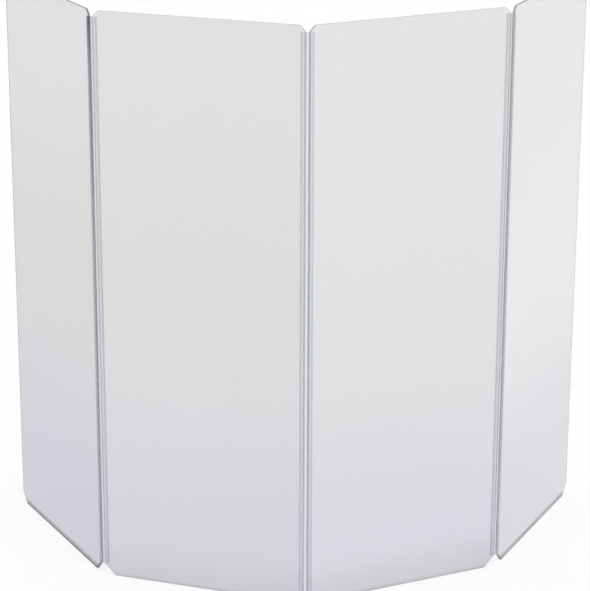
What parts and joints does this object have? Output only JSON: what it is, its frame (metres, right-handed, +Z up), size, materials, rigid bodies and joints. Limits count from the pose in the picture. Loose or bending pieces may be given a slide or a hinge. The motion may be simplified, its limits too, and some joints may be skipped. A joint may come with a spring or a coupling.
{
  "type": "drum shield",
  "caption": "Folding drum shield: tall clear acrylic panels that stand on the floor in an arc, joined edge to edge by full-height clear hinges that fold flat.",
  "frame": {"origin": "centre of the standing shield's footprint box, on the floor at the panels' bottom edges", "axes": "+Z up; +Y from the audience towards the player, so the shield bulges towards -Y; +X to the right as the audience sees it"},
  "size_m": [1.723, 0.7956, 1.6764],
  "materials": {
    "clear_acrylic": "polished",
    "clear_rigid_vinyl": "gloss",
    "clear_flexible_vinyl": "satin"
  },
  "bodies": {
    "panel_2": {"panel_2": "clear_acrylic", "hinge_1_right_grip": "clear_rigid_vinyl", "hinge_2_left_grip": "clear_rigid_vinyl"},
    "hinge_1_web": {"hinge_1_web": "clear_flexible_vinyl"},
    "panel_1": {"panel_1": "clear_acrylic", "hinge_1_left_grip": "clear_rigid_vinyl"},
    "hinge_2_web": {"hinge_2_web": "clear_flexible_vinyl"},
    "panel_3": {"panel_3": "clear_acrylic", "hinge_2_right_grip": "clear_rigid_vinyl", "hinge_3_left_grip": "clear_rigid_vinyl"},
    "hinge_3_web": {"hinge_3_web": "clear_flexible_vinyl"},
    "panel_4": {"panel_4": "clear_acrylic", "hinge_3_right_grip": "clear_rigid_vinyl"}
  },
  "joints": [
    {"name": "hinge_1_right_bend", "type": "hinge", "parent": "panel_2", "child": "hinge_1_web", "pos_m": [-0.59371, -0.16437, 0], "axis": [0, 0, -1], "range_deg": [-21.5, 68.5]},
    {"name": "hinge_1_left_bend", "type": "hinge", "parent": "hinge_1_web", "child": "panel_1", "pos_m": [-0.60024, -0.15818, 0], "axis": [0, 0, -1], "range_deg": [-21.5, 68.5]},
    {"name": "hinge_2_left_bend", "type": "hinge", "parent": "panel_2", "child": "hinge_2_web", "pos_m": [-0.02358, -0.39472, 0], "axis": [0, 0, 1], "range_deg": [-112, 8]},
    {"name": "hinge_2_right_bend", "type": "hinge", "parent": "hinge_2_web", "child": "panel_3", "pos_m": [-0.01458, -0.39472, 0], "axis": [0, 0, 1], "range_deg": [-112, 8]},
    {"name": "hinge_3_left_bend", "type": "hinge", "parent": "panel_3", "child": "hinge_3_web", "pos_m": [0.55554, -0.16437, 0], "axis": [0, 0, 1], "range_deg": [-19.5, 70.5]},
    {"name": "hinge_3_right_bend", "type": "hinge", "parent": "hinge_3_web", "child": "panel_4", "pos_m": [0.56228, -0.15841, 0], "axis": [0, 0, 1], "range_deg": [-19.5, 70.5]}
  ]
}
